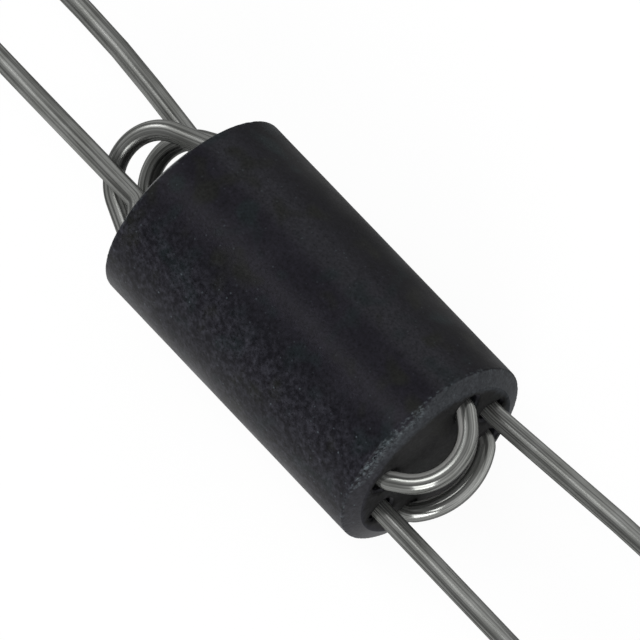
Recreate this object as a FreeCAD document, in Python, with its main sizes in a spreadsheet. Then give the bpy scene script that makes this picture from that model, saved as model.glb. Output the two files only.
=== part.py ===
# Common mode choke: two tinned copper wires wound through a six-hole ferrite bead.
# Millimetres. X runs along the bead, from its far end to its near end, Y across the
# two middle holes and Z up. The origin is the middle of the bead, on its own axis.

import FreeCAD, Part
import math
import os

import Sketcher

Vector = FreeCAD.Vector
ALONG = Vector(1, 0, 0)
LEAN_STEP = math.radians(0.5)
LEAN_ROUNDS = 30
STRAIGHT = 1e-6

doc = FreeCAD.newDocument("common_mode_choke")

# Driving dimensions, each written once. Angles are in degrees.
SIZES = [
    ("core_dia", "6.0", "outside of the bead"),
    ("core_len", "10.1", "face to face"),
    ("rim_width", "0.5", "bevel of each end, measured on the face"),
    ("rim_depth", "0.24", "bevel of each end, measured along the bead"),
    ("hole_wall", "0.695", "ferrite between each hole and the outside of the bead"),
    ("hole_angle", "41.5", "between neighbouring holes of one side"),
    ("hole_slack", "0.095", "room around a wire in its hole"),
    ("mouth_bevel", "0.08", "at both ends of each hole"),
    ("wire_dia", "0.56", "tinned wire"),
    ("bend_inside", "0.125", "inside radius where a wire turns over a hole's mouth"),
    ("loop_pull", "0.075", "how far a tight loop draws its two wires together"),
    ("wall_gap", "0.01", "left between a drawn wire and the wall of its hole"),
    ("lead_len", "14.0", "each lead, from the face to its cut tip"),
    ("jog_bend", "0.4", "bend radius where a lead takes its own direction"),
    ("sweep_bend", "30.0", "gentle bend radius further out on a lead"),
    ("a_near_rise", "0.95", "winding a, near loop, middle of the wire over the face"),
    ("a_near_lean_in", "34.2", "its first leg from the bead's direction"),
    ("a_near_lean_out", "34.3", "its second leg"),
    ("a_far_rise", "2.02", "winding a, far loop"),
    ("a_far_lean_in", "22", "its first leg"),
    ("a_far_lean_out", "24", "its second leg"),
    ("a_far_jog", "0.31", "sideways step of the far lead, towards the middle"),
    ("a_jog_height", "0.37", "where that step ends, over the face"),
    ("a_far_sway", "0", "slant of the far lead, outwards"),
    ("a_far_dip", "4.5", "slant of the far lead, towards the other winding"),
    ("a_far_sway_end", "5.0", "where those slants end, over the face"),
    ("a_near_sway", "-0.3", "slant of the near lead, outwards"),
    ("a_near_dip", "4.0", "slant of the near lead, towards the other winding"),
    ("a_near_sway_end", "6.0", "where those slants end, over the face"),
    ("b_near_rise", "0.615", "winding b, near loop"),
    ("b_near_lean_in", "51.5", "its first leg"),
    ("b_near_lean_out", "51.5", "its second leg"),
    ("b_far_rise", "1.71", "winding b, far loop"),
    ("b_far_lean_in", "32", "its first leg"),
    ("b_far_lean_out", "28", "its second leg"),
    ("b_far_jog", "0.18", "sideways step of the far lead"),
    ("b_jog_height", "0.75", "where that step ends"),
    ("b_far_sway", "5.3", "slant of the far lead, outwards"),
    ("b_far_dip", "1.5", "slant of the far lead, towards the other winding"),
    ("b_far_sway_end", "5.0", "where those slants end"),
    ("b_near_sway", "4.8", "slant of the near lead, outwards"),
    ("b_near_dip", "1.0", "slant of the near lead, towards the other winding"),
    ("b_near_sway_end", "6.0", "where those slants end"),
]

sheet = doc.addObject("Spreadsheet::Sheet", "Sizes")
for row, (name, value, meaning) in enumerate(SIZES, start=1):
    sheet.set("A%d" % row, name)
    sheet.set("B%d" % row, value)
    sheet.set("C%d" % row, meaning)
    sheet.setAlias("B%d" % row, name)
doc.recompute()


def size(name):
    """A driving dimension, read from the sheet."""
    return float(getattr(sheet, name))


def origin_plane(body, role):
    """One of a body's own origin planes."""
    for feature in body.Origin.OriginFeatures:
        if feature.Role == role:
            return feature
    raise ValueError(role)


def sketch_on(body, role, name):
    """An empty sketch on an origin plane of its body."""
    sketch = body.newObject("Sketcher::SketchObject", name)
    sketch.AttachmentSupport = [(origin_plane(body, role), "")]
    sketch.MapMode = "FlatFace"
    return sketch


def bind(sketch, kind, *where, to, label):
    """A named sketch dimension that follows the sheet."""
    index = sketch.addConstraint(Sketcher.Constraint(kind, *where, 1.0))
    sketch.renameConstraint(index, label)
    sketch.setExpression("Constraints." + label, to)


# The bead: one pressed and fired ferrite cylinder with bevelled ends and six holes.

HOLE_RADIUS = "Sizes.wire_dia / 2 + Sizes.hole_slack"
HOLE_PITCH = "Sizes.core_dia / 2 - Sizes.hole_wall - Sizes.wire_dia / 2 - Sizes.hole_slack"


def hole_radius():
    """Radius of each hole: the wire and the room around it."""
    return size("wire_dia") / 2 + size("hole_slack")


def hole_pitch():
    """From the middle of the bead to each hole."""
    return size("core_dia") / 2 - size("hole_wall") - hole_radius()


def half_section(body):
    """Half of the bead's long section, from its axis to its outside."""
    sketch = sketch_on(body, "XY_Plane", "half_section")
    half, radius = size("core_len") / 2, size("core_dia") / 2
    face, bevel = radius - size("rim_width"), half - size("rim_depth")
    corners = [(-half, 0), (-half, face), (-bevel, radius), (bevel, radius), (half, face), (half, 0)]
    count = len(corners)
    for index in range(count):
        start = Vector(*corners[index], 0)
        end = Vector(*corners[(index + 1) % count], 0)
        sketch.addGeometry(Part.LineSegment(start, end))
    for index in range(count):
        sketch.addConstraint(Sketcher.Constraint("Coincident", index, 2, (index + 1) % count, 1))
    near_face, far_face, outside, axis_line = 4, 0, 2, 5
    sketch.addConstraint(Sketcher.Constraint("Vertical", near_face))
    sketch.addConstraint(Sketcher.Constraint("Vertical", far_face))
    sketch.addConstraint(Sketcher.Constraint("Equal", near_face, far_face))
    sketch.addConstraint(Sketcher.Constraint("PointOnObject", axis_line, 1, -1))
    sketch.addConstraint(Sketcher.Constraint("Symmetric", axis_line, 1, axis_line, 2, -2))
    sketch.addConstraint(Sketcher.Constraint("Symmetric", outside, 1, outside, 2, -2))
    bind(sketch, "DistanceX", far_face, 1, near_face, 2, to="Sizes.core_len", label="length")
    bind(sketch, "DistanceX", outside, 1, outside, 2, to="Sizes.core_len - 2 * Sizes.rim_depth",
         label="straight")
    bind(sketch, "DistanceY", far_face, 1, far_face, 2, to="Sizes.core_dia / 2 - Sizes.rim_width",
         label="face_radius")
    bind(sketch, "DistanceY", -1, 1, outside, 1, to="Sizes.core_dia / 2", label="radius")
    return sketch


def hole_trio(body):
    """The three holes of one side, on rays from the middle of the bead."""
    sketch = sketch_on(body, "YZ_Plane", "hole_trio")
    rays = []
    for turn in (-1, 0, 1):
        angle = math.radians(turn * size("hole_angle"))
        centre = Vector(math.cos(angle), math.sin(angle), 0) * hole_pitch()
        ray = sketch.addGeometry(Part.LineSegment(Vector(0, 0, 0), centre), True)
        ring = sketch.addGeometry(Part.Circle(centre, Vector(0, 0, 1), hole_radius()))
        sketch.addConstraint(Sketcher.Constraint("Coincident", ray, 1, -1, 1))
        sketch.addConstraint(Sketcher.Constraint("Coincident", ray, 2, ring, 3))
        rays.append((ray, ring))
    lower, middle, upper = rays
    sketch.addConstraint(Sketcher.Constraint("Horizontal", middle[0]))
    for other in (lower, upper):
        sketch.addConstraint(Sketcher.Constraint("Equal", middle[0], other[0]))
        sketch.addConstraint(Sketcher.Constraint("Equal", middle[1], other[1]))
    bind(sketch, "DistanceX", middle[0], 1, middle[0], 2, to=HOLE_PITCH, label="pitch")
    bind(sketch, "Radius", middle[1], to=HOLE_RADIUS, label="hole_radius")
    bind(sketch, "Angle", middle[0], 1, upper[0], 1, to="Sizes.hole_angle * 1 deg", label="up")
    bind(sketch, "Angle", lower[0], 1, middle[0], 1, to="Sizes.hole_angle * 1 deg", label="down")
    return sketch


def mouth_edges(shape):
    """Names of the circular edges where the holes meet the two end faces."""
    names = []
    for index, edge in enumerate(shape.Edges, start=1):
        if not isinstance(edge.Curve, Part.Circle):
            continue
        at_face = abs(abs(edge.Curve.Center.x) - size("core_len") / 2) < 1e-6
        if at_face and abs(edge.Curve.Radius - hole_radius()) < 1e-6:
            names.append("Edge%d" % index)
    return names


def make_core():
    """The bevelled blank, its holes and the small bevels at their mouths."""
    body = doc.addObject("PartDesign::Body", "ferrite_core")
    body.Label = "ferrite_core"
    blank = body.newObject("PartDesign::Revolution", "blank")
    blank.Profile = half_section(body)
    blank.ReferenceAxis = (blank.Profile[0], ["H_Axis"])
    blank.Angle = 360.0
    doc.recompute()
    solid_volume = blank.Shape.Volume

    trio = hole_trio(body)
    holes = body.newObject("PartDesign::Pocket", "holes")
    holes.Profile = trio
    holes.Type = 1
    holes.Midplane = True
    doc.recompute()

    both_sides = body.newObject("PartDesign::PolarPattern", "both_sides")
    both_sides.Originals = [holes]
    both_sides.Axis = (trio, ["N_Axis"])
    both_sides.Angle = 360.0
    both_sides.Occurrences = 2
    body.Tip = both_sides
    doc.recompute()

    mouths = body.newObject("PartDesign::Chamfer", "mouths")
    mouths.Base = (both_sides, mouth_edges(both_sides.Shape))
    mouths.setExpression("Size", "Sizes.mouth_bevel")
    body.Tip = mouths
    doc.recompute()

    bore = math.pi * hole_radius() ** 2 * size("core_len")
    assert solid_volume - mouths.Shape.Volume > 6 * bore, "the six holes are not all there"
    return body


# The windings: each is one wire that enters at the far end, crosses the bead three
# times and leaves at the near end. Both are drawn in the place of winding a, around
# the bead's own axis, and winding b is then turned half a turn about that axis.

def hole_at(turns, pull=0.0):
    """Across and up from the axis, for a hole so many hole angles above the row."""
    angle = math.radians(turns * size("hole_angle"))
    return hole_pitch() * math.cos(angle) - pull, hole_pitch() * math.sin(angle)


def left_of(place):
    """The same place on the other side of the bead."""
    return -place[0], place[1]


def mouth_radius():
    """Radius of the wire's middle line where it turns over a hole's mouth."""
    return size("wire_dia") / 2 + size("bend_inside")


def mouth_depth():
    """Depth in the hole where a wire starts to turn, so that it clears the bevel."""
    room = size("hole_slack") - size("loop_pull") - size("wall_gap")
    inside = size("bend_inside")
    share = max(-1.0, min(1.0, 1.0 - room / inside))
    return size("mouth_bevel") + inside * math.sin(math.acos(share))


def mouth_corner(lean):
    """Height over the face where the two straight runs of a mouth bend would cross."""
    return mouth_radius() * math.tan(lean / 2) - mouth_depth()


def leg_length(lean, top):
    """Straight stretch of a leaning leg, from its mouth bend to the top corner."""
    return (top - mouth_corner(lean)) / math.cos(lean) - mouth_radius() * math.tan(lean / 2)


def arch(span, rise, lean_in, lean_out):
    """Leans of both legs, place of the top corner and radius of the round top.

    Where the rise leaves a leg no straight stretch, both legs lean over further.
    """
    while True:
        foot_in, foot_out = mouth_corner(lean_in), mouth_corner(lean_out)
        tan_in, tan_out = math.tan(lean_in), math.tan(lean_out)
        reach = span - (rise - foot_in) * tan_in - (rise - foot_out) * tan_out
        radius = reach / (1 / math.cos(lean_in) + 1 / math.cos(lean_out) - tan_in - tan_out)
        top = (span + foot_in * tan_in + foot_out * tan_out) / (tan_in + tan_out)
        taken = radius * math.tan((math.pi - lean_in - lean_out) / 2)
        if taken < min(leg_length(lean_in, top), leg_length(lean_out, top)):
            return lean_in, lean_out, top, (top - foot_in) * tan_in, radius
        lean_in += LEAN_STEP
        lean_out += LEAN_STEP


def loop_corners(end, start, finish, rise, lean_in, lean_out):
    """Corners and radii of one loop over an end face, from hole to hole."""
    step = Vector(0, finish[0] - start[0], finish[1] - start[1])
    wanted = math.radians(lean_in), math.radians(lean_out)
    lean_in, lean_out, top, along, radius = arch(step.Length, rise, *wanted)
    face = size("core_len") / 2
    first = Vector(end * (face + mouth_corner(lean_in)), *start)
    crown = Vector(end * (face + top), *start) + step * (along / step.Length)
    last = Vector(end * (face + mouth_corner(lean_out)), *finish)
    return [(first, mouth_radius()), (crown, radius), (last, mouth_radius())]


def step_lean(jog, height):
    """Lean of a lead's first leg, which starts where its mouth bend turns."""
    lean = math.atan2(jog, height)
    for _ in range(LEAN_ROUNDS):
        lean = math.atan2(jog, height - mouth_corner(lean))
    return lean


def lead_corners(end, hole, jog, jog_height, sway, dip, sway_end):
    """Corners and radii of one lead, from its hole out to its cut tip."""
    across, up = hole
    outwards = math.copysign(1, across)
    face = size("core_len") / 2
    corners = []
    height = size("wire_dia") / 2
    if jog:
        lean = step_lean(jog, jog_height)
        corners.append((Vector(end * (face + mouth_corner(lean)), across, up), mouth_radius()))
        across -= outwards * jog
        height = jog_height
    corners.append((Vector(end * (face + height), across, up), size("jog_bend")))
    across += outwards * (sway_end - height) * math.tan(math.radians(sway))
    up -= (sway_end - height) * math.tan(math.radians(dip))
    corners.append((Vector(end * (face + sway_end), across, up), size("sweep_bend")))
    corners.append((Vector(end * (face + size("lead_len")), across, up), 0))
    return corners


def bent_path(corners):
    """Straight runs joined by tangent arcs, and the length of the whole."""
    edges = []
    begin = corners[0][0]
    for before, (here, radius), after in zip(corners, corners[1:-1], corners[2:]):
        into = (here - before[0]).normalize()
        out = (after[0] - here).normalize()
        turn = into.getAngle(out)
        if turn < STRAIGHT:
            continue
        run = radius * math.tan(turn / 2)
        middle = here + (out - into).normalize() * (radius / math.cos(turn / 2) - radius)
        edges.append(Part.LineSegment(begin, here - into * run).toShape())
        edges.append(Part.Arc(here - into * run, middle, here + out * run).toShape())
        begin = here + out * run
    edges.append(Part.LineSegment(begin, corners[-1][0]).toShape())
    return Part.Wire(edges)


def make_winding(letter, turned):
    """One wire: far lead, near loop, far loop and near lead."""
    def own(name):
        return size(letter + "_" + name)

    left, right = left_of(hole_at(1, size("loop_pull"))), hole_at(1, size("loop_pull"))
    out_hole = left_of(hole_at(0))
    far_lead = lead_corners(-1, left, own("far_jog"), own("jog_height"),
                            own("far_sway"), own("far_dip"), own("far_sway_end"))
    near_loop = loop_corners(1, left, right, own("near_rise"),
                             own("near_lean_in"), own("near_lean_out"))
    far_loop = loop_corners(-1, right, out_hole, own("far_rise"),
                            own("far_lean_in"), own("far_lean_out"))
    near_lead = lead_corners(1, out_hole, 0, 0,
                             own("near_sway"), own("near_dip"), own("near_sway_end"))
    corners = far_lead[::-1] + near_loop + far_loop + near_lead

    place = FreeCAD.Placement(Vector(0, 0, 0), FreeCAD.Rotation(ALONG, turned))
    path = doc.addObject("Part::Feature", "path_" + letter)
    path.Shape = bent_path(corners)
    path.Placement = place

    section = doc.addObject("Part::Circle", "section_" + letter)
    section.setExpression("Radius", "Sizes.wire_dia / 2")
    square_on = FreeCAD.Rotation(Vector(0, 0, 1), ALONG)
    section.Placement = place * FreeCAD.Placement(corners[0][0], square_on)

    wire = doc.addObject("Part::Sweep", "winding_" + letter)
    wire.Label = "winding_" + letter
    wire.Sections = [section]
    wire.Spine = (path, ["Edge%d" % number for number in range(1, len(path.Shape.Edges) + 1)])
    wire.Solid = True
    doc.recompute()

    expected = math.pi * (size("wire_dia") / 2) ** 2 * path.Shape.Length
    assert abs(wire.Shape.Volume / expected - 1) < 1e-3, "the wire's volume is off"
    print(wire.Label, "wire length %.2f mm" % path.Shape.Length)
    return wire


parts = [make_core(), make_winding("a", 0), make_winding("b", 180)]
doc.recompute()

for item in doc.Objects:
    if "Invalid" in item.State or "Error" in item.State:
        raise RuntimeError(item.Name + " failed: " + str(item.State))
os.makedirs("parts", exist_ok=True)
for part in parts:
    if part.Shape.isNull() or not part.Shape.isValid():
        raise RuntimeError(part.Label + " has no valid shape")
for part in parts:
    part.Shape.exportStep("parts/" + part.Label + ".step")
    print(part.Label, "%.3f mm3" % part.Shape.Volume, len(part.Shape.Solids), "solid")
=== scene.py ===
"""Looks of a common mode choke: two tinned copper wires wound through a six-hole ferrite bead.

Sizes are in millimetres and turned to metres where a mesh is made. X runs along the bead from
its far end to its near end, Y across the two middle holes and Z up, with the origin in the
middle of the bead. Angles are in degrees.
"""

import logging
import math
from collections.abc import Callable
from dataclasses import dataclass, field
from enum import Enum

import bmesh
import bpy
from mathutils import Matrix, Vector, noise
from mathutils.geometry import delaunay_2d_cdt


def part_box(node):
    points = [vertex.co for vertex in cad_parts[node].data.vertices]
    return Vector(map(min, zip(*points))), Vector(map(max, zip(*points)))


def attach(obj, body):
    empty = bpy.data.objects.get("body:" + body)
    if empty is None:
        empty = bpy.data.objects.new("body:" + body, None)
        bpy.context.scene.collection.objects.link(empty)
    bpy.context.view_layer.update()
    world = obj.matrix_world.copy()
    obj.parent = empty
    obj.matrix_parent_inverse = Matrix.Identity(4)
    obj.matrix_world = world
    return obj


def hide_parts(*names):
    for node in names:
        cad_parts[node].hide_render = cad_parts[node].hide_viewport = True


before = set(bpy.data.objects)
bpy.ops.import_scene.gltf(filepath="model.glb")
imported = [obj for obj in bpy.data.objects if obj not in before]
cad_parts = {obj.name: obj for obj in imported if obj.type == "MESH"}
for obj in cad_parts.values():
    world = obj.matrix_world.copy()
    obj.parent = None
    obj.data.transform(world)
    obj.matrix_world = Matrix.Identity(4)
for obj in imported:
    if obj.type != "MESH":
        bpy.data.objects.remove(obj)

MM = 0.001
BODY = "root"
LEAN_ROUNDS = 30
STRAIGHT = 1e-6
log = logging.getLogger("choke")

Socket = bpy.types.NodeSocket
Colour = tuple[float, float, float, float]


def linear(code: str, alpha: float = 1.0) -> Colour:
    """An sRGB hex colour, turned to linear.

    Args:
        code: six hex digits.
        alpha: the fourth value.

    Returns:
        Red, green, blue and alpha, as a socket takes them.
    """
    parts = [int(code[start:start + 2], 16) / 255 for start in (0, 2, 4)]
    flat = [part / 12.92 if part <= 0.04045 else ((part + 0.055) / 1.055) ** 2.4 for part in parts]
    return flat[0], flat[1], flat[2], alpha


def add_node(tree: bpy.types.NodeTree, kind: str, feeds: dict | None = None, **settings) -> bpy.types.Node:
    """Adds a node with its settings and links.

    Args:
        tree: the node tree that takes it.
        kind: Blender's own name of the node.
        feeds: for an input, by name or number, its value or the socket that feeds it.
        settings: the node's own properties.

    Returns:
        The new node.
    """
    node = tree.nodes.new(kind)
    for name, value in settings.items():
        setattr(node, name, value)
    for key, value in (feeds or {}).items():
        if isinstance(value, bpy.types.NodeSocket):
            tree.links.new(value, node.inputs[key])
        else:
            node.inputs[key].default_value = value
    return node


def new_material(name: str) -> tuple[bpy.types.Material, bpy.types.NodeTree]:
    """Makes an empty material.

    Args:
        name: of the material.

    Returns:
        The material and its node tree.
    """
    material = bpy.data.materials.new(name)
    material.use_nodes = True
    material.node_tree.nodes.clear()
    return material, material.node_tree


def blend_step(low: float, high: float, value: float) -> float:
    """A share that rises smoothly from 0 to 1 as the value goes from low to high."""
    share = min(1.0, max(0.0, (value - low) / (high - low)))
    return share * share * (3 - 2 * share)


class End(Enum):
    """The two ends of the bead, by their sign along X."""

    NEAR = 1
    FAR = -1


@dataclass(frozen=True)
class FiredFerrite:
    """Nickel zinc ferrite, dry pressed, fired and tumbled.

    A matt charcoal ceramic with a touch of violet. Its grains break the light up finely, the
    press leaves soft clouds of a slightly other grey, and knocked edges show a paler, rougher
    break. In the photo one side is rougher, with pale dust and dark pores in its skin, which is
    only taken for tumbling here. The other side is dull and even, with a paler band painted on
    it as a soft reflection, and the top keeps a faint sheen. Painted shade darkens the rough
    side, both outer sides, the bevel on the rough side and the end faces.
    """

    body: str = "15141A"
    cloud: str = "1D1C22"
    teal_stain: str = "161D1F"
    olive_stain: str = "191A16"
    # A paler band along the dull side, a painted soft reflection.
    painted_reflection_band: str = "232327"
    # Painted shade laid along both outer sides of the bead.
    edge: str = "08080B"
    # Painted shade over the rough side.
    rough_side_painted_shade: str = "101014"
    dust: str = "2B2B31"
    pore: str = "0C0C10"
    bevel: str = "2B2D30"
    # The bevel on the rough side, darkened with painted shade.
    shaded_bevel: str = "212125"
    # The end faces, darkened with painted shade.
    face: str = "191918"
    broken: str = "666F73"
    fleck: str = "4A5257"
    cloud_size: float = 1.6
    stain_size: float = 1.0
    patch_size: float = 0.17
    grain_size: float = 0.075
    fleck_cell: float = 0.16
    fleck_radius: float = 0.035
    fleck_share: float = 0.3
    rough_from: float = -0.5
    rough_to: float = -1.9
    rough_outer_shade_from: float = -2.2
    rough_outer_shade_to: float = -2.7
    dull_from: float = 0.3
    dull_to: float = 1.6
    pale_from: float = 0.85
    pale_to: float = 1.3
    pale_fades: float = 1.5
    pale_until: float = 2.5
    dull_outer_shade_from: float = 1.7
    dull_outer_shade_to: float = 2.6
    face_skin: float = 0.02
    relief: float = 0.014
    sheen: float = 0.08
    roughness: float = 0.31
    tumbled_rougher: float = 1.4
    dull_rougher: float = 2.0
    face_rougher: float = 2.0

    def material(self, face: float) -> bpy.types.Material:
        """The finish as a node material, on Object coordinates.

        Every value has a name: places and noises first, then ramps of them, then products of
        two. The colours are then laid over each other, each where its value is high. The steps
        across the bead are places along Y, from its rough side to its dull side.

        Args:
            face: from the middle of the bead to its end faces, which painted shade keeps darker than the
                side.

        Returns:
            The material.
        """
        material, tree = new_material("fired_ferrite")
        place = add_node(tree, "ShaderNodeTexCoord").outputs["Object"]
        parts = add_node(tree, "ShaderNodeSeparateXYZ", {"Vector": place}).outputs
        cells = add_node(tree, "ShaderNodeTexVoronoi", {"Vector": place, "Scale": 1 / (self.fleck_cell * MM)})
        radius = self.fleck_radius / self.fleck_cell
        values: dict[str, Socket] = {
            "across": parts["Y"],
            "along": add_node(tree, "ShaderNodeMath", {0: parts["X"]}, operation="ABSOLUTE").outputs[0],
            "from_grain": cells.outputs["Distance"],
            "draw": add_node(tree, "ShaderNodeSeparateColor", {"Color": cells.outputs["Color"]}).outputs[0],
        }
        for name in ("wear", "ground"):
            values[name] = add_node(tree, "ShaderNodeAttribute", attribute_name=name).outputs["Fac"]
        for name, size, detail, rough in (
                ("clouds", self.cloud_size, 3.0, 0.5), ("stains", self.stain_size, 1.0, 0.5),
                ("patches", self.patch_size, 5.0, 0.62), ("grains", self.grain_size, 3.0, 0.6)):
            values[name] = add_node(tree, "ShaderNodeTexNoise", {
                "Vector": place, "Scale": 1 / (size * MM), "Detail": detail,
                "Roughness": rough}).outputs["Fac"]

        # Ramps: what they follow, from which to which value, and what they start and end with.
        smooth = ("tumbled", "shaded", "pale_in", "pale_out", "dull")
        for name, source, low, high, start, end in (
                ("tumbled", "across", self.rough_from, self.rough_to, 0, 1),
                # shaded: painted shade over the rough side.
                ("shaded", "across", self.rough_from, 2 * self.rough_from, 0, 0.6),
                # pale_in and pale_out: where the painted soft reflection lies on the dull side.
                ("pale_in", "across", self.pale_from, self.pale_to, 0, 1),
                ("pale_out", "across", self.pale_fades, self.pale_until, 1, 0),
                ("dull", "across", self.dull_from, self.dull_to, 0, 1),
                # Painted shade along the two outer sides of the bead, dull side then rough side.
                ("dull_outer_shade", "across", self.dull_outer_shade_from, self.dull_outer_shade_to, 0, 0.9),
                ("rough_outer_shade", "across", self.rough_outer_shade_from, self.rough_outer_shade_to, 0, 0.6),
                ("flat", "along", face - self.face_skin, face - 0.5 * self.face_skin, 0, 1),
                # face: painted shade on the end faces.
                ("face", "flat", 0, 1, 0, 0.8),
                ("cloudy", "clouds", 0.35, 0.65, 0, 1),
                ("teal", "stains", 0.42, 0.3, 0, 0.7),
                ("olive", "stains", 0.58, 0.7, 0, 0.7),
                ("dust_patches", "patches", 0.4, 0.75, 0, 1),
                ("dark_grains", "grains", 0.42, 0.3, 0, 1),
                ("open_skin", "tumbled", 0, 1, 0.25, 0.9),
                ("bevel_patches", "patches", 0.3, 0.55, 0.7, 1),
                ("patch_tones", "patches", 0.3, 0.7, 0.82, 1.18),
                ("grain_tones", "grains", 0.3, 0.7, 0.66, 1.34),
                ("grain_spots", "from_grain", radius, 0.4 * radius, 0, 1),
                ("drawn_spots", "draw", 1 - self.fleck_share, 1, 0, 1),
                ("fleck_skin", "tumbled", 0, 1, 0.3, 0.8),
                ("break_grains", "grains", 0.32, 0.6, 0, 1),
                ("cloud_rough", "clouds", 0.3, 0.7, self.roughness - 0.04, self.roughness + 0.04),
                ("tumbled_rough", "tumbled", 0, 1, 1, self.tumbled_rougher),
                ("dull_rough", "dull", 0, 1, 1, self.dull_rougher),
                ("face_rough", "flat", 0, 1, 1, self.face_rougher)):
            unit = MM if source in ("across", "along") else 1
            values[name] = add_node(tree, "ShaderNodeMapRange", {
                "Value": values[source], "From Min": low * unit, "From Max": high * unit,
                "To Min": start, "To Max": end},
                interpolation_type="SMOOTHSTEP" if name in smooth else "LINEAR").outputs["Result"]
        for name, first, second in (
                ("pale", "pale_in", "pale_out"), ("dusty", "dust_patches", "tumbled"),
                ("pores", "dark_grains", "open_skin"), ("bevelled", "ground", "bevel_patches"),
                ("uneven", "patch_tones", "grain_tones"), ("spots", "grain_spots", "drawn_spots"),
                ("flecks", "spots", "fleck_skin"), ("broken", "break_grains", "wear"),
                ("rough", "cloud_rough", "tumbled_rough"), ("rough", "rough", "dull_rough"),
                ("rough", "rough", "face_rough"), ("relief", "patches", "grains")):
            values[name] = add_node(tree, "ShaderNodeMath", {
                0: values[first], 1: values[second]}, operation="MULTIPLY").outputs[0]

        # The pressed body with clouds, a paler band of painted soft reflection on the dull side,
        # painted shade along both outer sides and over the rough side, and faint stains. Then the
        # tumbled skin, with pale dust in soft patches and dark pores, and last the end faces, darkened
        # with painted shade, and their paler bevels, with painted shade on the rough side.
        # The bevel's tone, with painted shade on the rough side.
        bevel = add_node(tree, "ShaderNodeMix", {
            "Factor": values["tumbled"], "A": linear(self.bevel), "B": linear(self.shaded_bevel)},
            data_type="RGBA").outputs["Result"]
        tone = linear(self.body)
        for mask, colour in (
                ("cloudy", linear(self.cloud)), ("pale", linear(self.painted_reflection_band)),
                ("dull_outer_shade", linear(self.edge)), ("rough_outer_shade", linear(self.edge)),
                ("shaded", linear(self.rough_side_painted_shade)), ("teal", linear(self.teal_stain)),
                ("olive", linear(self.olive_stain)), ("dusty", linear(self.dust)),
                ("pores", linear(self.pore)), ("face", linear(self.face)), ("bevelled", bevel)):
            tone = add_node(tree, "ShaderNodeMix", {
                "Factor": values[mask], "A": tone, "B": colour}, data_type="RGBA").outputs["Result"]
        tone = add_node(tree, "ShaderNodeVectorMath", {0: tone, "Scale": values["uneven"]},
                        operation="SCALE").outputs["Vector"]
        # Single bright grains, and the paler break of a chipped edge.
        for mask, colour in (("flecks", self.fleck), ("broken", self.broken)):
            tone = add_node(tree, "ShaderNodeMix", {
                "Factor": values[mask], "A": tone, "B": linear(colour)}, data_type="RGBA").outputs["Result"]

        relief = add_node(tree, "ShaderNodeBump", {
            "Height": values["relief"], "Strength": 0.6,
            "Distance": self.relief * MM}).outputs["Normal"]
        surface = add_node(tree, "ShaderNodeBsdfPrincipled", {
            "Base Color": tone, "Roughness": values["rough"], "Specular IOR Level": self.sheen,
            "Normal": relief})
        add_node(tree, "ShaderNodeOutputMaterial", {"Surface": surface.outputs[0]})
        return material


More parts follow.
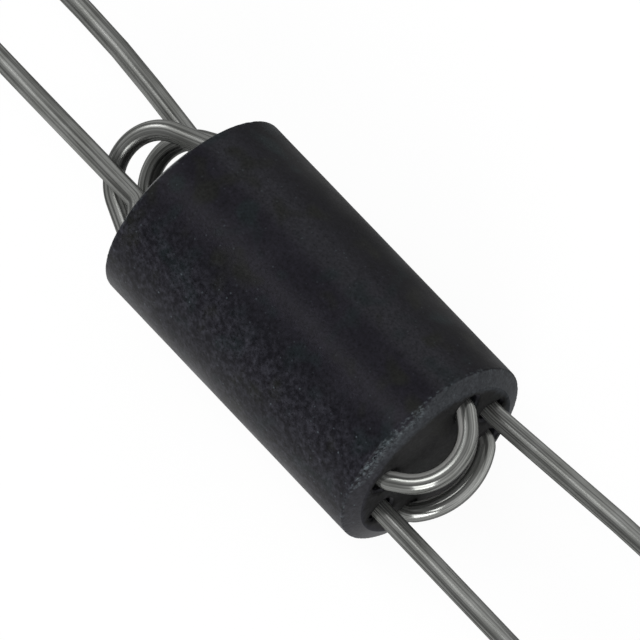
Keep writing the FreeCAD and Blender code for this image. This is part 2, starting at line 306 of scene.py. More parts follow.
@dataclass(frozen=True)
class TinnedCopper:
    """Copper wire, drawn through a die and hot tinned.

    A grey metal with soft reflections, dark towards its outline. The die leaves fine lines along
    the wire. In the photo the near loops are brighter, with a pale band along their inside. What
    made them so isn't known, and the finish only follows what shows. The cut ends are outside
    the photo: copper inside the tin is a guess.
    """

    tin: str = "7E7F7D"
    dull: str = "70716E"
    edge: str = "707070"
    copper: str = "B07455"
    # A pale, less metallic band along the inside of each near loop; what made it isn't known.
    pale_band: str = "C2C2BF"
    line_length: float = 4.0
    line_width: float = 0.05
    streak_length: float = 7.0
    streak_width: float = 0.1
    stain_size: float = 0.7
    loops_brighter: float = 1.15
    loops_smoother: float = 0.6
    relief: float = 0.0012
    roughness: float = 0.27
    metallic: float = 0.74
    pale_band_metallic: float = 0.4

    def material(self) -> bpy.types.Material:
        """The finish as a node material.

        The attribute "drawn" gives each point's place on the wire while it was still straight,
        so that the lines follow every bend. "bent", "pale_banded" and "cut" mark the near loops,
        the pale band inside them, whose cause isn't known, and the two tips.

        Returns:
            The material.
        """
        material, tree = new_material("hot_tinned_copper_wire")
        straight = add_node(tree, "ShaderNodeAttribute", attribute_name="drawn").outputs["Vector"]
        values = {name: add_node(tree, "ShaderNodeAttribute", attribute_name=name).outputs["Fac"]
                  for name in ("bent", "pale_banded", "cut")}
        # Noises with features of this length along the wire and this width across it.
        for name, length, width, detail in (
                ("lines", self.line_length, self.line_width, 3.0),
                ("streaks", self.streak_length, self.streak_width, 2.0),
                ("stains", self.stain_size, self.stain_size, 4.0)):
            stretched = add_node(tree, "ShaderNodeMapping", {
                "Vector": straight, "Scale": (1 / (length * MM), 1 / (width * MM), 1 / (width * MM))})
            values[name] = add_node(tree, "ShaderNodeTexNoise", {
                "Vector": stretched.outputs["Vector"], "Scale": 1.0, "Detail": detail}).outputs["Fac"]
        for name, source, low, high, start, end in (
                ("stained", "stains", 0.35, 0.7, 0, 1),
                ("lined", "lines", 0.3, 0.7, 0.42, 1.48),
                ("streaked", "streaks", 0.3, 0.7, 0.6, 1.34),
                ("brighter", "bent", 0, 1, 1, self.loops_brighter),
                ("smoother", "bent", 0, 1, 1, self.loops_smoother),
                ("metal", "pale_banded", 0, 1, self.metallic, self.pale_band_metallic),
                ("line_rough", "lines", 0.3, 0.7, self.roughness - 0.05, self.roughness + 0.08)):
            values[name] = add_node(tree, "ShaderNodeMapRange", {
                "Value": values[source], "From Min": low, "From Max": high,
                "To Min": start, "To Max": end}).outputs["Result"]

        tone = add_node(tree, "ShaderNodeMix", {
            "Factor": values["stained"], "A": linear(self.tin), "B": linear(self.dull)},
            data_type="RGBA").outputs["Result"]
        for pattern in ("lined", "streaked", "brighter"):
            tone = add_node(tree, "ShaderNodeVectorMath", {0: tone, "Scale": values[pattern]},
                            operation="SCALE").outputs["Vector"]
        for mask, colour in (("pale_banded", self.pale_band), ("cut", self.copper)):
            tone = add_node(tree, "ShaderNodeMix", {
                "Factor": values[mask], "A": tone, "B": linear(colour)}, data_type="RGBA").outputs["Result"]
        rough = add_node(tree, "ShaderNodeMath", {
            0: values["line_rough"], 1: values["smoother"]}, operation="MULTIPLY").outputs[0]
        relief = add_node(tree, "ShaderNodeBump", {
            "Height": values["lines"], "Strength": 0.5,
            "Distance": self.relief * MM}).outputs["Normal"]
        surface = add_node(tree, "ShaderNodeBsdfPrincipled", {
            "Base Color": tone, "Metallic": values["metal"], "Roughness": rough,
            "Specular Tint": linear(self.edge), "Normal": relief})
        add_node(tree, "ShaderNodeOutputMaterial", {"Surface": surface.outputs[0]})
        return material


@dataclass
class Bead:
    """The ferrite bead: a bevelled cylinder with six holes on rays from its middle.

    Its length and diameter come from the imported bead.
    """

    rim_width: float = 0.5
    rim_depth: float = 0.24
    edge_round: float = 0.03
    hole_wall: float = 0.695
    hole_slack: float = 0.095
    hole_angle: float = 41.5
    mouth_bevel: float = 0.08
    wire_dia: float = 0.56
    around: int = 360
    mouth_sides: int = 40
    ring_gap: float = 0.11
    rim_gap: float = 0.032
    fine_rings: int = 9
    face_gap: float = 0.15
    ripple: float = 0.006
    chip_depth: float = 0.05
    chip_size: float = 0.06
    chip_middle: float = -18.0
    chip_reach: float = 40.0
    worn_edge: float = 0.2
    least_chipped: float = 0.3
    far_wear: float = 0.2
    length: float = field(init=False)
    diameter: float = field(init=False)

    def __post_init__(self) -> None:
        """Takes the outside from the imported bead."""
        low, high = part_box("ferrite_core")
        self.length = (high.x - low.x) / MM
        self.diameter = min(high.y - low.y, high.z - low.z) / MM

    @property
    def face(self) -> float:
        """From the middle of the bead to each end face."""
        return self.length / 2

    @property
    def hole_radius(self) -> float:
        """Radius of each hole."""
        return self.wire_dia / 2 + self.hole_slack

    @property
    def hole_pitch(self) -> float:
        """From the axis to the middle of each hole."""
        return self.diameter / 2 - self.hole_wall - self.hole_radius

    def hole_at(self, turns: float, pull: float = 0.0) -> tuple[float, float]:
        """Place of a hole, across and up from the axis.

        Args:
            turns: hole angles above the row of the middle holes.
            pull: how far a tight loop draws its wire towards the middle.

        Returns:
            Its Y and Z.
        """
        angle = math.radians(turns * self.hole_angle)
        return self.hole_pitch * math.cos(angle) - pull, self.hole_pitch * math.sin(angle)

    def hole_centres(self) -> list[tuple[float, float]]:
        """The six holes, three on each side."""
        right = [self.hole_at(turns) for turns in (-1, 0, 1)]
        return right + [(-across, up) for across, up in right]

    def rim_profile(self) -> list[tuple[float, float, float]]:
        """The bevel from the side to the end face, with its outer edge rounded.

        Returns:
            For each point its distance past the face, its radius and its share of the bevel.
        """
        radius = self.diameter / 2
        slope = Vector((self.rim_depth, -self.rim_width))
        corner = Vector((-self.rim_depth, radius))
        run = slope.length
        slope = slope / run
        points = []
        turn = math.atan2(self.rim_width, self.rim_depth)
        tangent = self.edge_round
        bend = tangent / math.tan(turn / 2)
        middle = corner + Vector((-tangent, -bend))
        for step in range(5):
            angle = turn * step / 4
            spot = middle + Vector((math.sin(angle), math.cos(angle))) * bend
            points.append((spot.x, spot.y, blend_step(0, 1, step / 4)))
        reach = tangent
        while reach < run - 1.5 * self.rim_gap:
            reach += self.rim_gap
            spot = corner + slope * reach
            points.append((spot.x, spot.y, 1.0))
        points.append((0.0, radius - self.rim_width, 1.0))
        return points

    def side_profile(self) -> list[tuple[float, float, float]]:
        """The whole outside, from the far face's edge to the near face's edge.

        Returns:
            For each ring its place along the bead, its radius and its share of the bevel.
        """
        rim = self.rim_profile()
        straight = self.face + rim[0][0]
        count = round(2 * straight / self.ring_gap)
        near = [(self.face + past, radius, ground) for past, radius, ground in rim]
        lead_in = [straight - self.rim_gap * step for step in range(self.fine_rings, 0, -1)]
        even = [-straight + 2 * straight * step / count for step in range(1, count)]
        even = [x for x in even if abs(x) < lead_in[0] - self.ring_gap / 3]
        middle = [-x for x in reversed(lead_in)] + even + lead_in
        far = [(-x, radius, ground) for x, radius, ground in reversed(near)]
        return far + [(x, self.diameter / 2, 0.0) for x in middle] + near

    def chipping(self, x: float, radius: float, angle: float) -> float:
        """How badly the rim is chipped at a place, from 0 to 1.

        Args:
            x: along the bead.
            radius: from its axis.
            angle: around it, from the top towards +Y.

        Returns:
            The share of the deepest chip.
        """
        middle = self.worn_edge * self.softened(x, angle)
        reach = 0.1 + 0.8 * middle
        by_place = 1 - blend_step(0.35 * reach, reach, abs(self.past_edge(x, radius) - middle))
        by_angle = max(self.softened(x, angle), self.least_chipped)
        spot = Vector((x, radius * math.sin(angle), radius * math.cos(angle))) / self.chip_size
        rough = 0.5 * noise.noise(spot * 0.45) + 0.5 * noise.noise(spot) + 0.3 * noise.noise(spot * 2.1)
        return blend_step(-0.15, 0.6, rough) * by_place * by_angle

    def past_edge(self, x: float, radius: float) -> float:
        """How far a place lies past the outer edge of the bevel.

        Args:
            x: along the bead.
            radius: from its axis.

        Returns:
            The distance, less than 0 on the side.
        """
        along = abs(x) - (self.face - self.rim_depth)
        inward = self.diameter / 2 - radius
        return math.hypot(along, inward) if along > 0 else along

    def softened(self, x: float, angle: float) -> float:
        """How much the edge is worn soft at an angle.

        Args:
            x: along the bead.
            angle: around it, from the top towards +Y.

        Returns:
            1 in the middle of the chipped stretch, down to 0 past its ends.
        """
        if x < 0:
            return self.far_wear
        turned = abs((math.degrees(angle) - self.chip_middle + 180) % 360 - 180)
        return 1 - blend_step(0.5 * self.chip_reach, self.chip_reach, turned)

    def ground_share(self, x: float, radius: float, angle: float) -> float:
        """How far a place shows the ground bevel, which begins further in where the edge is worn."""
        start = 0.85 * self.worn_edge * self.softened(x, angle)
        return blend_step(start, start + 0.07, self.past_edge(x, radius))

    def mesh(self) -> bpy.types.Mesh:
        """The bead's surface, with the attributes "wear" and "ground" for its finish.

        Returns:
            The mesh: the outside, both end faces and the six holes.
        """
        places: list[Vector] = []
        faces: list[tuple[int, ...]] = []
        worn: list[float] = []
        ground: list[float] = []

        def add(spot: Vector, wear: float = 0.0, polish: float = 0.0) -> int:
            """Adds a point and gives its number."""
            places.append(spot * MM)
            worn.append(wear)
            ground.append(polish)
            return len(places) - 1

        def join(first: list[int], second: list[int]) -> None:
            """Adds the faces between two rings."""
            count = len(first)
            for index in range(count):
                after = (index + 1) % count
                faces.append((first[index], first[after], second[after], second[index]))

        rings = []
        for x, radius, polish in self.side_profile():
            ring = []
            for step in range(self.around):
                angle = 2 * math.pi * step / self.around
                chipped = self.chipping(x, radius, angle)
                out = Vector((0, math.sin(angle), math.cos(angle)))
                wave = noise.noise(Vector((x, radius * out.y, radius * out.z)) * 0.9)
                inner = radius - self.ripple * (0.5 + 0.5 * wave) - 0.7 * self.chip_depth * chipped
                along = x - math.copysign(self.chip_depth * chipped, x) * polish
                ring.append(add(Vector((along, 0, 0)) + out * inner, chipped,
                                self.ground_share(x, radius, angle)))
            rings.append(ring)
        for first, second in zip(rings, rings[1:]):
            join(first, second)

        mouths = {}
        for end in End:
            outline = rings[-1] if end is End.NEAR else rings[0]
            mouths[end] = [self.mouth_ring(add, end, centre) for centre in self.hole_centres()]
            self.fill_face(add, faces, places, end, outline, mouths[end])
        for index, centre in enumerate(self.hole_centres()):
            throats = {}
            for end in End:
                throats[end] = [
                    add(Vector((end.value * (self.face - self.mouth_bevel), *self.on_circle(centre, step))))
                    for step in range(self.mouth_sides)]
                join(mouths[end][index], throats[end])
            join(throats[End.NEAR], throats[End.FAR])

        mesh = bpy.data.meshes.new("ferrite_bead")
        mesh.from_pydata(places, [], faces)
        for name, values in (("wear", worn), ("ground", ground)):
            attribute = mesh.attributes.new(name, "FLOAT", "POINT")
            attribute.data.foreach_set("value", values)
        return mesh

    def on_circle(self, centre: tuple[float, float], step: int, past: float = 0.0) -> tuple[float, float]:
        """A point round a hole.

        Args:
            centre: of the hole, across and up.
            step: counts the points round it.
            past: how far outside the hole's wall.

        Returns:
            Its Y and Z.
        """
        angle = 2 * math.pi * step / self.mouth_sides
        radius = self.hole_radius + past
        return centre[0] + radius * math.sin(angle), centre[1] + radius * math.cos(angle)

    def mouth_ring(self, add: Callable[..., int], end: End, centre: tuple[float, float]) -> list[int]:
        """The outer edge of the bevel at a hole's mouth."""
        return [add(Vector((end.value * self.face, *self.on_circle(centre, step, self.mouth_bevel))))
                for step in range(self.mouth_sides)]

    def fill_face(self, add: Callable[..., int], faces: list[tuple[int, ...]], places: list[Vector],
                  end: End, outline: list[int], mouths: list[list[int]]) -> None:
        """Fills an end face between its outline and the six mouths.

        Args:
            add: adds a point and gives its number.
            faces: takes the new triangles.
            places: the points so far.
            end: which end it is.
            outline: the face's outer ring.
            mouths: the rings of the holes.
        """
        inside = self.diameter / 2 - self.rim_width - 0.6 * self.face_gap
        keep_off = self.hole_radius + self.mouth_bevel + 0.5 * self.face_gap
        centres = self.hole_centres()
        grid = []
        count = int(inside / self.face_gap) + 1
        for row in range(-count, count + 1):
            for column in range(-count, count + 1):
                across = (column + 0.5 * (row % 2)) * self.face_gap
                up = row * self.face_gap * math.sin(math.radians(60))
                if math.hypot(across, up) > inside:
                    continue
                if any(math.hypot(across - y, up - z) < keep_off for y, z in centres):
                    continue
                dent = self.ripple * (0.5 + 0.5 * noise.noise(Vector((across, up, end.value)) * 1.4))
                grid.append(add(Vector((end.value * (self.face - dent), across, up))))
        loops = [outline] + mouths
        numbers = [number for loop in loops for number in loop] + grid
        flat = [Vector((places[number].y, places[number].z)) / MM for number in numbers]
        edges = []
        start = 0
        for loop in loops:
            edges += [(start + index, start + (index + 1) % len(loop)) for index in range(len(loop))]
            start += len(loop)
        spots, _, triangles, sources, _, _ = delaunay_2d_cdt(flat, edges, [], 1, 1e-6)
        for triangle in triangles:
            middle = sum((spots[corner] for corner in triangle), Vector((0, 0))) / 3
            if any(math.hypot(middle.x - y, middle.y - z) < self.hole_radius for y, z in centres):
                continue
            faces.append(tuple(numbers[sources[corner][0]] for corner in triangle))

    def build(self, finish: FiredFerrite) -> bpy.types.Object:
        """Puts the finished bead in the scene.

        Args:
            finish: of its surface.

        Returns:
            The bead.
        """
        mesh = self.mesh()
        work = bmesh.new()
        work.from_mesh(mesh)
        bmesh.ops.recalc_face_normals(work, faces=work.faces)
        for part in work.faces:
            part.smooth = True
        work.to_mesh(mesh)
        work.free()
        mesh.set_sharp_from_angle(angle=math.radians(28))
        mesh.materials.append(finish.material(self.face))
        piece = bpy.data.objects.new("bead", mesh)
        bpy.context.scene.collection.objects.link(piece)
        return piece


@dataclass(frozen=True)
class Loop:
    """One loop over an end face: its rise over the face and the lean of its two legs."""

    rise: float
    lean_in: float
    lean_out: float


@dataclass(frozen=True)
class PaleBand:
    """The pale band inside a near loop, whose cause isn't known: where along the wire it begins and ends, and
    on which side.
    """

    start: float
    end: float
    side: float


@dataclass(frozen=True)
class Lead:
    """One lead: how it sways outwards and dips towards the other wire.

    The far leads first step a little towards the middle of the bead. The near leads don't.
    """

    sway: float
    dip: float
    sway_end: float
    jog: float = 0.0
    jog_height: float = 0.0


Corner = tuple[Vector, float]


@dataclass
class Winding:
    """One wire: far lead, near loop, far loop and near lead, as straight runs and tangent arcs."""

    name: str
    bead: Bead
    far_lead: Lead
    near_loop: Loop
    far_loop: Loop
    near_lead: Lead
    pale_band: PaleBand
    turned: float = 0.0
    bend_inside: float = 0.125
    loop_pull: float = 0.075
    wall_gap: float = 0.01
    lead_len: float = 14.0
    jog_bend: float = 0.4
    sweep_bend: float = 30.0
    arc_step: float = 3.0
    run_step: float = 0.5
    sides: int = 48
    tip_bevel: float = 0.04

    @property
    def mouth_radius(self) -> float:
        """Radius of the middle line where the wire turns over a hole's mouth."""
        return self.bead.wire_dia / 2 + self.bend_inside

    @property
    def mouth_depth(self) -> float:
        """Depth in the hole where the wire starts to turn."""
        room = self.bead.hole_slack - self.loop_pull - self.wall_gap
        share = max(-1.0, min(1.0, 1 - room / self.bend_inside))
        return self.bead.mouth_bevel + self.bend_inside * math.sin(math.acos(share))

    def mouth_corner(self, lean: float) -> float:
        """Height over the face where the two runs of a mouth bend would cross."""
        return self.mouth_radius * math.tan(lean / 2) - self.mouth_depth

    def loop_corners(self, end: End, start: tuple[float, float], finish: tuple[float, float],
                     loop: Loop) -> list[Corner]:
        """The three corners of a loop, from hole to hole.

        Args:
            end: the end that it loops over.
            start: the hole that it comes from, across and up.
            finish: the hole that it goes to.
            loop: its rise and leans.

        Returns:
            Each corner with the radius of its bend.
        """
        step = Vector((0, finish[0] - start[0], finish[1] - start[1]))
        lean_in, lean_out = math.radians(loop.lean_in), math.radians(loop.lean_out)
        foot_in, foot_out = self.mouth_corner(lean_in), self.mouth_corner(lean_out)
        tan_in, tan_out = math.tan(lean_in), math.tan(lean_out)
        reach = step.length - (loop.rise - foot_in) * tan_in - (loop.rise - foot_out) * tan_out
        radius = reach / (1 / math.cos(lean_in) + 1 / math.cos(lean_out) - tan_in - tan_out)
        top = (step.length + foot_in * tan_in + foot_out * tan_out) / (tan_in + tan_out)
        along = (top - foot_in) * tan_in
        face = self.bead.face
        first = Vector((end.value * (face + foot_in), *start))
        crown = Vector((end.value * (face + top), *start)) + step * (along / step.length)
        last = Vector((end.value * (face + foot_out), *finish))
        return [(first, self.mouth_radius), (crown, radius), (last, self.mouth_radius)]

    def step_lean(self, lead: Lead) -> float:
        """Lean of a lead's first leg, which starts where its mouth bend turns.

        Args:
            lead: the lead, with its step.

        Returns:
            The angle to the axis, in radians, settled by repeated trial.
        """
        lean = math.atan2(lead.jog, lead.jog_height)
        for _ in range(LEAN_ROUNDS):
            lean = math.atan2(lead.jog, lead.jog_height - self.mouth_corner(lean))
        return lean

    def lead_corners(self, end: End, hole: tuple[float, float], lead: Lead) -> list[Corner]:
        """The corners of a lead, from its hole out to its cut tip.

        Args:
            end: the end that it leaves by.
            hole: its hole, across and up.
            lead: its step, slant and dip.

        Returns:
            Each corner with the radius of its bend.
        """
        across, up = hole
        outwards = math.copysign(1, across)
        face = self.bead.face
        height = self.bead.wire_dia / 2
        corners = []
        if lead.jog:
            foot = self.mouth_corner(self.step_lean(lead))
            corners.append((Vector((end.value * (face + foot), across, up)), self.mouth_radius))
            across -= outwards * lead.jog
            height = lead.jog_height
        corners.append((Vector((end.value * (face + height), across, up)), self.jog_bend))
        across += outwards * (lead.sway_end - height) * math.tan(math.radians(lead.sway))
        up -= (lead.sway_end - height) * math.tan(math.radians(lead.dip))
        corners.append((Vector((end.value * (face + lead.sway_end), across, up)), self.sweep_bend))
        corners.append((Vector((end.value * (face + self.lead_len), across, up)), 0.0))
        return corners

    def corners(self) -> list[Corner]:
        """Every corner of the wire, from its far tip to its near tip."""
        right = self.bead.hole_at(1, self.loop_pull)
        left = (-right[0], right[1])
        out_hole = (-self.bead.hole_at(0)[0], 0.0)
        far = self.lead_corners(End.FAR, left, self.far_lead)
        return (far[::-1] + self.loop_corners(End.NEAR, left, right, self.near_loop)
                + self.loop_corners(End.FAR, right, out_hole, self.far_loop)
                + self.lead_corners(End.NEAR, out_hole, self.near_lead))

    def route(self) -> list[Vector]:
        """The middle line of the wire.

        Returns:
            Points along it, close together in its bends.
        """
        corners = self.corners()
        points = [corners[0][0]]

        def run_to(target: Vector) -> None:
            """Adds a straight run."""
            start = points[-1]
            count = max(1, math.ceil((target - start).length / self.run_step))
            points.extend(start.lerp(target, step / count) for step in range(1, count + 1))

        for (before, _), (here, radius), (after, _) in zip(corners, corners[1:-1], corners[2:]):
            into = (here - before).normalized()
            out = (after - here).normalized()
            turn = into.angle(out)
            if turn < STRAIGHT:
                continue
            reach = radius * math.tan(turn / 2)
            run_to(here - into * reach)
            centre = here + (out - into).normalized() * (radius / math.cos(turn / 2))
            axis = into.cross(out).normalized()
            spoke = points[-1] - centre
            count = max(2, math.ceil(math.degrees(turn) / self.arc_step))
            for step in range(1, count + 1):
                points.append(centre + Matrix.Rotation(turn * step / count, 3, axis) @ spoke)
        run_to(corners[-1][0])
        spin = Matrix.Rotation(math.radians(self.turned), 3, "X")
        return [spin @ point for point in points]

    def build(self, finish: bpy.types.Material, drawer: "WireDrawer") -> bpy.types.Object:
        """Puts the finished wire in the scene.

        Args:
            finish: its material.
            drawer: makes the round wire from its middle line.

        Returns:
            The wire.
        """
        points = self.route()
        tip = self.tip_bevel / self.bead.wire_dia
        points.insert(1, points[0].lerp(points[1], self.tip_bevel / (points[1] - points[0]).length))
        points.insert(-1, points[-1].lerp(points[-2], self.tip_bevel / (points[-1] - points[-2]).length))
        curve = bpy.data.curves.new(self.name + "_route", "CURVE")
        curve.dimensions = "3D"
        curve.twist_mode = "MINIMUM"
        spline = curve.splines.new("POLY")
        spline.points.add(len(points) - 1)
        for target, point in zip(spline.points, points):
            target.co = (*(point * MM), 1.0)
            target.radius = 1.0
        spline.points[0].radius = spline.points[-1].radius = 1 - tip
        route = bpy.data.objects.new(self.name + "_route", curve)
        bpy.context.scene.collection.objects.link(route)
        piece = drawer.draw(route, self.name + "_wire", self.bead.wire_dia, self.sides, self.pale_band, finish)
        bpy.data.objects.remove(route)
        bpy.data.curves.remove(curve)
        return piece


class WireDrawer:
    """A Geometry Nodes tree that draws a round wire along a route.

    It marks each point's place on the straight wire, the two cut tips, the bent near loop and
    the pale band inside it.
    """

    fade = 0.4

    def __init__(self) -> None:
        """Builds the tree once for both wires."""
        tree = bpy.data.node_groups.new("drawn_wire", "GeometryNodeTree")
        self.tree = tree
        sockets = tree.interface
        self.inputs = {}
        for name, kind in (("Route", "Geometry"), ("Wire Diameter", "Float"), ("Sides", "Int"),
                           ("Pale Band From", "Float"), ("Pale Band To", "Float"), ("Pale Band Side", "Float"),
                           ("Finish", "Material")):
            socket = sockets.new_socket(name, in_out="INPUT", socket_type="NodeSocket" + kind)
            self.inputs[name] = socket.identifier
        sockets.new_socket("Wire", in_out="OUTPUT", socket_type="NodeSocketGeometry")

        given = add_node(tree, "NodeGroupInput").outputs
        along = add_node(tree, "GeometryNodeSplineParameter").outputs
        route = tree.nodes.new("GeometryNodeCaptureAttribute")
        route.capture_items.new("FLOAT", "length")
        route.capture_items.new("FLOAT", "share")
        tree.links.new(given["Route"], route.inputs["Geometry"])
        tree.links.new(along["Length"], route.inputs["length"])
        tree.links.new(along["Factor"], route.inputs["share"])

        radius = add_node(tree, "ShaderNodeMath", {
            0: given["Wire Diameter"], 1: 0.5}, operation="MULTIPLY").outputs[0]
        circle = add_node(tree, "GeometryNodeCurvePrimitiveCircle", {
            "Resolution": given["Sides"], "Radius": radius}).outputs["Curve"]
        section = tree.nodes.new("GeometryNodeCaptureAttribute")
        section.capture_items.new("VECTOR", "place")
        tree.links.new(circle, section.inputs["Geometry"])
        tree.links.new(add_node(tree, "GeometryNodeInputPosition").outputs[0], section.inputs["place"])

        swept = add_node(tree, "GeometryNodeCurveToMesh", {
            "Curve": route.outputs["Geometry"], "Profile Curve": section.outputs["Geometry"],
            "Scale": add_node(tree, "GeometryNodeInputRadius").outputs[0],
            "Fill Caps": True}).outputs["Mesh"]
        flat = add_node(tree, "ShaderNodeSeparateXYZ", {"Vector": section.outputs["place"]}).outputs
        straight = add_node(tree, "ShaderNodeCombineXYZ", {
            "X": route.outputs["length"], "Y": flat["X"], "Z": flat["Y"]}).outputs[0]

        # The tips, and the pale band: a stretch of the route, on one side of the section.
        # Each row gives a name, what is done, and two earlier names or numbers.
        values = {"length": route.outputs["length"], "share": route.outputs["share"],
                  "x": flat["X"], "y": flat["Y"], "radius": radius, "side": given["Pale Band Side"],
                  "start": given["Pale Band From"], "end": given["Pale Band To"]}
        for name, kind, first, second in (
                ("off_middle", "SUBTRACT", "share", 0.5), ("from_middle", "ABSOLUTE", "off_middle", 0.0),
                ("cut", "GREATER_THAN", "from_middle", 0.5 - 1e-6),
                ("cosine", "COSINE", "side", 0.0), ("sideways", "MULTIPLY", "x", "cosine"),
                ("sine", "SINE", "side", 0.0), ("upwards", "MULTIPLY", "y", "sine"),
                ("reach", "ADD", "sideways", "upwards"), ("facing", "DIVIDE", "reach", "radius"),
                ("full_from", "ADD", "start", self.fade * MM),
                ("full_to", "SUBTRACT", "end", self.fade * MM)):
            values[name] = add_node(tree, "ShaderNodeMath", {
                0: values.get(first, first), 1: values.get(second, second)}, operation=kind).outputs[0]
        for name, source, low, high in (
                ("entered", "length", "start", "full_from"), ("left", "length", "end", "full_to"),
                ("inside", "facing", 0.94, 0.98)):
            values[name] = add_node(tree, "ShaderNodeMapRange", {
                "Value": values[source], "From Min": values.get(low, low),
                "From Max": values.get(high, high)}, interpolation_type="SMOOTHSTEP").outputs["Result"]
        for name, first, second in (("bent", "entered", "left"), ("pale_banded", "inside", "bent")):
            values[name] = add_node(tree, "ShaderNodeMath", {
                0: values[first], 1: values[second]}, operation="MULTIPLY").outputs[0]

        shape = swept
        values["drawn"] = straight
        for name, kind in (("drawn", "FLOAT_VECTOR"), ("cut", "FLOAT"), ("bent", "FLOAT"),
                           ("pale_banded", "FLOAT")):
            shape = add_node(tree, "GeometryNodeStoreNamedAttribute", {
                "Geometry": shape, "Name": name, "Value": values[name]},
                data_type=kind, domain="POINT").outputs[0]
        shape = add_node(tree, "GeometryNodeSetShadeSmooth", {"Geometry": shape}).outputs[0]
        shape = add_node(tree, "GeometryNodeRealizeInstances", {"Geometry": shape}).outputs[0]
        shape = add_node(tree, "GeometryNodeSetMaterial", {
            "Geometry": shape, "Material": given["Finish"]}).outputs[0]
        add_node(tree, "NodeGroupOutput", {"Wire": shape})

    def draw(self, route: bpy.types.Object, name: str, diameter: float, sides: int,
             pale_band: PaleBand, finish: bpy.types.Material) -> bpy.types.Object:
        """Draws one wire.

        Args:
            route: a curve object in metres.
            name: what the new piece is called.
            diameter: of the wire, in millimetres.
            sides: of its round section.
            pale_band: the pale band inside its near loop, whose cause isn't known.
            finish: its material.

        Returns:
            The wire as a plain mesh object.
        """
        modifier = route.modifiers.new("drawn_wire", "NODES")
        modifier.node_group = self.tree
        modifier[self.inputs["Wire Diameter"]] = diameter * MM
        modifier[self.inputs["Sides"]] = sides
        modifier[self.inputs["Pale Band From"]] = pale_band.start * MM
        modifier[self.inputs["Pale Band To"]] = pale_band.end * MM
        modifier[self.inputs["Pale Band Side"]] = math.radians(pale_band.side)
        modifier[self.inputs["Finish"]] = finish
        graph = bpy.context.evaluated_depsgraph_get()
        mesh = bpy.data.meshes.new_from_object(route.evaluated_get(graph), depsgraph=graph)
        mesh.name = name
        route.modifiers.remove(modifier)
        mesh.set_sharp_from_angle(angle=math.radians(40))
        piece = bpy.data.objects.new(name, mesh)
        bpy.context.scene.collection.objects.link(piece)
        return piece


@dataclass(frozen=True)
class Softbox:
    """A square-cornered lamp, by where it stands, how large it is and how bright it looks."""

    name: str
    heading: float
    elevation: float
    width: float
    height: float
    level: float
    distance: float = 450.0


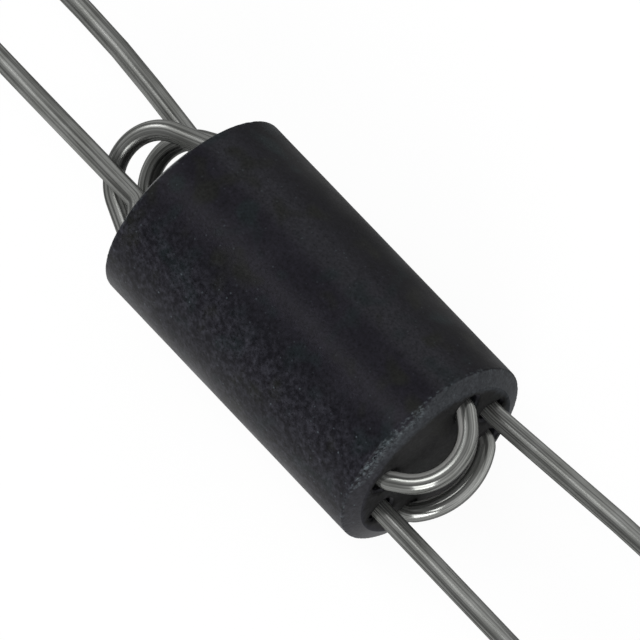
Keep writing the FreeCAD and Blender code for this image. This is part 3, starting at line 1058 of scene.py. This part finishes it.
@dataclass
class Studio:
    """A pale floor, soft light and the camera."""

    heading: float = -10.98
    elevation: float = 67.56
    roll: float = 31.85
    distance: float = 350.0
    lens: float = 755.5
    sensor: float = 36.0
    clip: tuple[float, float] = (0.01, 10.0)
    aim_right: float = 0.230
    aim_up: float = 0.246
    floor_reach: float = 3000.0
    floor_tone: str = "FAFAFA"
    glow_seen: float = 0.94
    glow_mirrored: float = 0.5
    horizon_level: float = 1.0
    middle_level: float = 0.9
    top_level: float = 0.75
    shaded_side: float = 0.6
    open_side: float = 1.14
    boxes: tuple[Softbox, ...] = (
        Softbox("overhead_strip", 188.0, 79.0, 105.0, 240.0, 3.5),
        Softbox("front_box", -39.0, 24.0, 210.0, 360.0, 6.8),
        Softbox("back_box", 183.0, 36.0, 120.0, 140.0, 8.0),
    )

    @staticmethod
    def towards(heading: float, elevation: float) -> Vector:
        """The direction that a heading from +X and an elevation give."""
        turn, rise = math.radians(heading), math.radians(elevation)
        return Vector((math.cos(rise) * math.cos(turn), math.cos(rise) * math.sin(turn), math.sin(rise)))

    def place_camera(self) -> None:
        """Puts the camera at the photograph's viewing angle."""
        back = self.towards(self.heading, self.elevation)
        level = Vector((0, 0, 1)).cross(back).normalized()
        rise = back.cross(level)
        turn = math.radians(self.roll)
        right = level * math.cos(turn) - rise * math.sin(turn)
        up = level * math.sin(turn) + rise * math.cos(turn)
        data = bpy.data.cameras.new("camera")
        data.lens = self.lens
        data.sensor_width = self.sensor
        data.clip_start, data.clip_end = self.clip
        camera = bpy.data.objects.new("camera", data)
        place = right * self.aim_right + up * self.aim_up + back * self.distance
        camera.matrix_world = Matrix.Translation(place * MM) @ Matrix((right, up, back)).transposed().to_4x4()
        bpy.context.scene.collection.objects.link(camera)
        bpy.context.scene.camera = camera

    def lay_floor(self, height: float) -> None:
        """Lays the floor that the bead rests on.

        Args:
            height: of its surface, in metres.
        """
        reach = self.floor_reach * MM
        mesh = bpy.data.meshes.new("floor")
        mesh.from_pydata([(-reach, -reach, height), (reach, -reach, height),
                          (reach, reach, height), (-reach, reach, height)], [], [(0, 1, 2, 3)])
        # White paper: it shows the object's soft shadow and stays white beyond it.
        material, tree = new_material("matt_paper")
        matt = add_node(tree, "ShaderNodeBsdfDiffuse", {"Color": linear(self.floor_tone)})
        paths = add_node(tree, "ShaderNodeLightPath").outputs
        mirrored = add_node(tree, "ShaderNodeMath", {
            0: paths["Is Glossy Ray"], 1: paths["Is Transmission Ray"]}, operation="MAXIMUM").outputs[0]
        glow = add_node(tree, "ShaderNodeEmission", {"Strength": 1.0})
        share = add_node(tree, "ShaderNodeMath", {0: mirrored, 1: self.glow_mirrored},
                         operation="MULTIPLY").outputs[0]
        share = add_node(tree, "ShaderNodeMath", {
            0: paths["Is Camera Ray"], 1: self.glow_seen, 2: share}, operation="MULTIPLY_ADD").outputs[0]
        both = add_node(tree, "ShaderNodeMixShader", {
            0: share, 1: matt.outputs[0], 2: glow.outputs[0]})
        add_node(tree, "ShaderNodeOutputMaterial", {"Surface": both.outputs[0]})
        mesh.materials.append(material)
        floor = bpy.data.objects.new("floor", mesh)
        bpy.context.scene.collection.objects.link(floor)

    def light(self) -> None:
        """Hangs the softboxes and sets the world's soft light."""
        for box in self.boxes:
            lamp = bpy.data.lights.new(box.name, "AREA")
            lamp.shape = "RECTANGLE"
            lamp.size = box.width * MM
            lamp.size_y = box.height * MM
            lamp.energy = box.level * math.pi * lamp.size * lamp.size_y
            stand = bpy.data.objects.new(box.name, lamp)
            back = self.towards(box.heading, box.elevation)
            across = Vector((0, 0, 1)).cross(back).normalized()
            up = back.cross(across)
            turned = Matrix((across, up, back)).transposed().to_4x4()
            stand.matrix_world = Matrix.Translation(back * box.distance * MM) @ turned
            bpy.context.scene.collection.objects.link(stand)

        world = bpy.data.worlds.new("soft_room")
        bpy.context.scene.world = world
        world.use_nodes = True
        tree = world.node_tree
        tree.nodes.clear()
        way = add_node(tree, "ShaderNodeTexCoord").outputs["Generated"]
        parts = add_node(tree, "ShaderNodeSeparateXYZ", {"Vector": way}).outputs
        rise = parts["Z"]
        side = add_node(tree, "ShaderNodeMapRange", {
            "Value": parts["Y"], "From Min": -0.9, "From Max": 0.3,
            "To Min": self.shaded_side, "To Max": self.open_side},
            interpolation_type="SMOOTHSTEP").outputs["Result"]
        low = add_node(tree, "ShaderNodeMapRange", {
            "Value": rise, "From Min": 0.0, "From Max": 0.4,
            "To Min": self.horizon_level, "To Max": self.middle_level},
            interpolation_type="SMOOTHSTEP").outputs["Result"]
        high = add_node(tree, "ShaderNodeMapRange", {
            "Value": rise, "From Min": 0.4, "From Max": 1.0,
            "To Min": 0.0, "To Max": self.top_level - self.middle_level}).outputs["Result"]
        level = add_node(tree, "ShaderNodeMath", {0: low, 1: high}, operation="ADD").outputs[0]
        level = add_node(tree, "ShaderNodeMath", {0: level, 1: side}, operation="MULTIPLY").outputs[0]
        sky = add_node(tree, "ShaderNodeBackground", {"Strength": level})
        add_node(tree, "ShaderNodeOutputWorld", {"Surface": sky.outputs[0]})

    def build(self, height: float) -> None:
        """Sets up the floor, the light and the camera.

        Args:
            height: of the floor, in metres.
        """
        self.place_camera()
        self.lay_floor(height)
        self.light()
        bpy.context.scene.view_settings.view_transform = "Standard"


def main() -> None:
    """Builds the bead, the two windings and the studio, and reports each piece."""
    logging.basicConfig(level=logging.INFO, format="%(message)s")
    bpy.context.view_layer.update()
    bead = Bead()
    studio = Studio()
    studio.build(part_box("ferrite_core")[0].z)

    core = bead.build(FiredFerrite())
    windings = (
        Winding("winding_a", bead,
                far_lead=Lead(sway=0, dip=4.5, sway_end=5.0, jog=0.31, jog_height=0.37),
                near_loop=Loop(rise=0.95, lean_in=34.2, lean_out=34.3),
                far_loop=Loop(rise=2.02, lean_in=22, lean_out=24),
                near_lead=Lead(sway=-0.3, dip=4.0, sway_end=6.0),
                pale_band=PaleBand(start=23.9, end=28.2, side=-122)),
        Winding("winding_b", bead, turned=180,
                far_lead=Lead(sway=5.3, dip=1.5, sway_end=5.0, jog=0.18, jog_height=0.75),
                near_loop=Loop(rise=0.615, lean_in=51.5, lean_out=51.5),
                far_loop=Loop(rise=1.71, lean_in=32, lean_out=28),
                near_lead=Lead(sway=4.8, dip=1.0, sway_end=6.0),
                pale_band=PaleBand(start=24.2, end=27.2, side=-40)),
    )
    drawer = WireDrawer()
    tinned = TinnedCopper().material()
    pieces = [(core, "ferrite_core", "ferrite")]
    for winding in windings:
        pieces.append((winding.build(tinned, drawer), winding.name, "tinned_copper"))
    for piece, node, slot in pieces:
        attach(piece, BODY)
        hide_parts(node)
        log.info("%s: %d faces, stands for %s", piece.name, len(piece.data.polygons), node)


if __name__ == "__main__":
    main()
